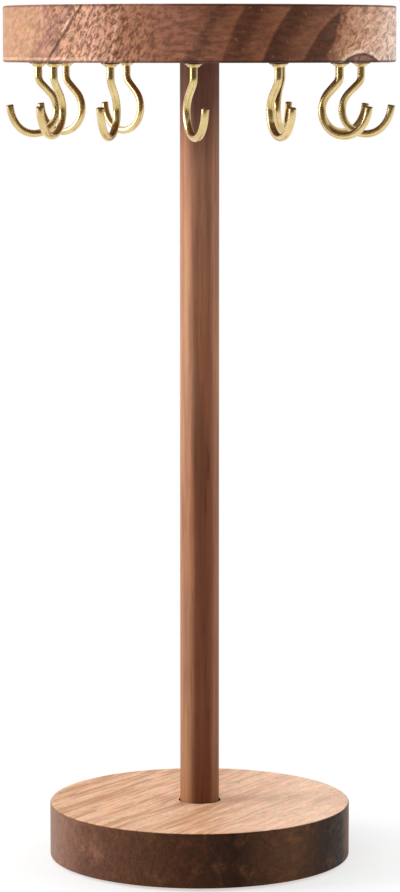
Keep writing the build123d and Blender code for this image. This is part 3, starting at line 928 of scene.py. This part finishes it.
# %% [markdown]
# The small hardware in the base is hardly seen, but it is real. Bright zinc plating on the screws and
# the washer mirrors softly and a little blue. The bush and the insert are turned brass, warmer and
# duller than the hooks. The nylon washer is milky, and the die-cut rubber of the feet is nearly black
# and matt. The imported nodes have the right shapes, so they stay and only get a finish.

# %% Hardware
def plain_finish(name, light, dark, grain, rough, metallic):
    """A finish with a fine grain, a size in millimetres, between two close shades."""
    material, tree = new_material(name)
    spot = add(tree, "ShaderNodeTexCoord").outputs["Object"]
    noise = add(tree, "ShaderNodeTexNoise", {"Vector": spot, "Scale": 1 / (grain * MM), "Detail": 3.0})
    blend = add(tree, "ShaderNodeMapRange", {"Value": noise, "From Min": 0.35, "From Max": 0.65}, **SMOOTH)
    tone = add(tree, "ShaderNodeMix", {
        "Factor": blend, "A": shade(dark), "B": shade(light),
    }, data_type="RGBA")
    rough = add(tree, "ShaderNodeMapRange", {
        "Value": noise, "From Min": 0.3, "From Max": 0.7, "To Min": rough[0], "To Max": rough[1],
    }, **SMOOTH)
    bump = add(tree, "ShaderNodeBump", {"Height": noise, "Strength": 0.2, "Distance": 0.0001})
    surface = add(tree, "ShaderNodeBsdfPrincipled", {
        "Base Color": tone, "Metallic": metallic, "Roughness": rough, "Normal": bump,
    })
    add(tree, "ShaderNodeOutputMaterial", {"Surface": surface})
    return material


zinc = plain_finish("Bright zinc plating", "c9cbd0", "b4b7bd", 0.8, (0.22, 0.36), 1.0)
turned_brass = plain_finish("Turned brass", "d9b873", "c9a45c", 0.5, (0.25, 0.4), 1.0)
nylon = plain_finish("Natural nylon", "ece8da", "e2ddcc", 1.5, (0.35, 0.5), 0.0)
rubber = plain_finish("Die-cut rubber", "2a2a2a", "1c1c1c", 0.6, (0.7, 0.85), 0.0)
finishes = {
    "pivot_screw": zinc, "head_washer": zinc, "dowel_screw": zinc, "pivot_bush": turned_brass,
    "pole_insert": turned_brass, "thrust_washer": nylon,
}
finishes.update({f"foot_pad_{number}": rubber for number in range(1, 5)})
for node, finish in finishes.items():
    nodes[node].data.materials.clear()
    nodes[node].data.materials.append(finish)
print("finished nodes:", sorted(finishes))

# %% [markdown]
# The floor is a matt white sheet. Near the tree it takes the light and the soft shadow. Farther out it
# fades into plain white for the camera, the reflections and the see-through rays, so the horizon
# doesn't show as a grey line. In front, the sheet ends half way to the camera. The dark wooden floor
# of the room begins there, and only the brass and the lacquer mirror it.

# %% Floor
FLOOR_RADIUS = 6.0
SHADOW_INNER = 0.09
SHADOW_OUTER = 0.22

bm = bmesh.new()
bmesh.ops.create_circle(bm, cap_ends=True, segments=96, radius=FLOOR_RADIUS)
mesh = bpy.data.meshes.new("floor")
bm.to_mesh(mesh)
bm.free()
floor = bpy.data.objects.new("floor", mesh)
bpy.context.collection.objects.link(floor)
paper, tree = new_material("Matt white paper")
spot = add(tree, "ShaderNodeTexCoord").outputs["Object"]
away = add(tree, "ShaderNodeVectorMath", {0: spot}, operation="LENGTH")
far = add(tree, "ShaderNodeMapRange", {
    "Value": away, "From Min": SHADOW_INNER, "From Max": SHADOW_OUTER, "To Min": 0.6, "To Max": 1.0,
}, **SMOOTH)
path = add(tree, "ShaderNodeLightPath")
forward = add(tree, "ShaderNodeSeparateXYZ", {"Vector": spot}).outputs["Y"]
laid = add(tree, "ShaderNodeMapRange", {"Value": forward, "From Min": -1.0, "From Max": -0.6}, **SMOOTH)
seen = add(tree, "ShaderNodeMath", {
    0: path.outputs["Is Glossy Ray"], 1: path.outputs["Is Transmission Ray"],
}, operation="ADD")
seen = add(tree, "ShaderNodeMath", {
    0: seen, 1: laid, 2: path.outputs["Is Camera Ray"],
}, operation="MULTIPLY_ADD")
seen = add(tree, "ShaderNodeMath", {0: seen, 1: far}, operation="MULTIPLY", use_clamp=True)
ground = add(tree, "ShaderNodeMix", {
    "Factor": laid, "A": shade("40301f"), "B": grey(0.93),
}, data_type="RGBA")
sheet = add(tree, "ShaderNodeBsdfDiffuse", {"Color": ground})
white = add(tree, "ShaderNodeEmission", {"Color": grey(1), "Strength": 1.0})
mixed = add(tree, "ShaderNodeMixShader", {0: seen, 1: sheet, 2: white})
add(tree, "ShaderNodeOutputMaterial", {"Surface": mixed})
mesh.materials.append(paper)
print("floor", 2 * FLOOR_RADIUS, "m across")

# %% [markdown]
# A product shot like this stands in front of a white backdrop, in a room that is dim and warm behind
# the camera. The world is that room. The camera sees plain white. Everything else sees the backdrop
# fade into the dim front, which draws the dark line down the middle of each wire.

# %% World
# The backdrop is brightest behind the tree, high up and a little to the left
BACKDROP = (-0.25, 0.80, 0.55)

world = bpy.data.worlds.new("Studio")
bpy.context.scene.world = world
world.use_nodes = True
tree = world.node_tree
tree.nodes.clear()
direction = add(tree, "ShaderNodeTexCoord").outputs["Generated"]
towards = add(tree, "ShaderNodeVectorMath", {0: direction, 1: BACKDROP}, operation="DOT_PRODUCT")
behind = add(tree, "ShaderNodeMapRange", {"Value": towards, "From Min": -0.75, "From Max": 0.5}, **SMOOTH)
walls = add(tree, "ShaderNodeMix", {"Factor": behind, "A": shade("72685a"), "B": grey(1)}, data_type="RGBA")
room = add(tree, "ShaderNodeBackground", {"Color": walls, "Strength": 1.0})
plain = add(tree, "ShaderNodeBackground", {"Color": grey(1), "Strength": 1.0})
seen = add(tree, "ShaderNodeLightPath").outputs["Is Camera Ray"]
mixed = add(tree, "ShaderNodeMixShader", {0: seen, 1: room, 2: plain})
add(tree, "ShaderNodeOutputWorld", {"Surface": mixed})
print("world nodes:", len(tree.nodes))

# %% [markdown]
# Three soft lamps shape the wood. The key stands on the left, and puts the bright strip on the pole. A
# weak one on the right keeps that side open, and a broad fill in front lifts the wood. Both of these
# are hidden from reflections, or the hooks would mirror them as white lines.

# %% Lamps
AIM = Vector((0, 0, 0.17))


def lamp(name, place, size, power, mirrored=True):
    """A square area lamp that looks at the middle of the tree."""
    light = bpy.data.lights.new(name, "AREA")
    light.shape = "SQUARE"
    light.size = size
    light.energy = power
    holder = bpy.data.objects.new(name, light)
    bpy.context.collection.objects.link(holder)
    holder.location = place
    holder.rotation_euler = (AIM - holder.location).to_track_quat("-Z", "Y").to_euler()
    holder.visible_glossy = mirrored
    print(name, "at", [round(value, 2) for value in place], "power", power)


lamp("key_left", (-0.85, -0.05, 0.45), 0.45, 5.0)
lamp("side_right", (0.9, -0.1, 0.4), 0.5, 1.2, mirrored=False)
lamp("front_fill", (-0.3, -1.3, 0.7), 0.9, 5.8, mirrored=False)

# %% [markdown]
# The photograph was taken from a little over a metre away, at the height of the hooks, with a long
# lens. The lens and the tilt come from the outline: how much of the base's top shows, and how much
# smaller the base looks than a disc of its size would at the top.

# %% Camera
TILT = 6.743

view = bpy.data.cameras.new("camera")
view.sensor_fit = "VERTICAL"
view.sensor_height = 36.0
view.lens = 136.4
camera = bpy.data.objects.new("camera", view)
bpy.context.collection.objects.link(camera)
camera.location = (0.00015, -1.2219, 0.2966)
camera.rotation_euler = (radians(90 - TILT), 0, 0)
bpy.context.scene.camera = camera
bpy.context.scene.view_settings.view_transform = "Standard"
print("camera sees", round(degrees(view.angle), 1), "degrees from top to bottom")
